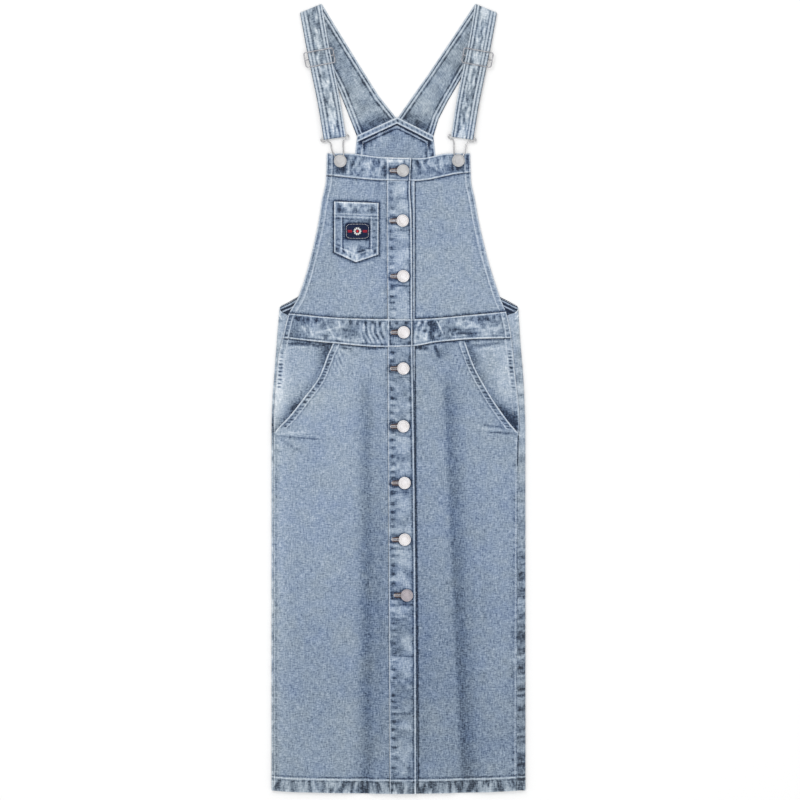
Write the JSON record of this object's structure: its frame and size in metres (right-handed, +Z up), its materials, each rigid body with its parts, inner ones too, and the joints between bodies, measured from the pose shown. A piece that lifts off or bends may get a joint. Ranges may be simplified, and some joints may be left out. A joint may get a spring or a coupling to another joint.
{
  "type": "denim dungaree maxi dress",
  "caption": "Flat-laid denim dungaree maxi dress with bib, chest pocket, waistband, slant pockets, button placket and buckled straps.",
  "frame": {"origin": "centre of the laid-out garment's plan outline, on the surface it lies on", "axes": "+Y from the hem to the shoulder folds, +X to the viewer's right as seen from above, +Z up from the surface, the garment's front facing +Z"},
  "size_m": [0.4314, 1.3418, 0.0116],
  "materials": {
    "denim": "light-wash cotton twill denim, matt",
    "denim_band": "light-wash cotton twill denim, doubled and edge-worn, matt",
    "patch": null,
    "button_metal": "pale satin silver",
    "wire_metal": "pale bright nickel"
  },
  "bodies": {
    "root": {"back_panel": "denim", "skirt_front_left": "denim", "skirt_front_right": "denim", "bib_front_left": "denim", "bib_front_right": "denim", "hip_panel_left": "denim", "hip_panel_right": "denim", "chest_pocket": "denim", "back_yoke_band": "denim_band", "bib_band_left": "denim_band", "bib_band_right": "denim_band", "bib_placket_top": "denim_band", "bib_placket_under": "denim_band", "skirt_placket_top": "denim_band", "skirt_placket_under": "denim_band", "waistband_left": "denim_band", "waistband_right": "denim_band", "strap_left": "denim_band", "strap_right": "denim_band", "pocket_patch": "patch", "button_1": "button_metal", "button_2": "button_metal", "button_3": "button_metal", "button_4": "button_metal", "button_5": "button_metal", "button_6": "button_metal", "button_7": "button_metal", "button_8": "button_metal", "button_9": "button_metal", "bib_button_left": "button_metal", "buckle_left": "wire_metal", "slider_left": "wire_metal", "bib_button_right": "button_metal", "buckle_right": "wire_metal", "slider_right": "wire_metal"}
  },
  "joints": []
}
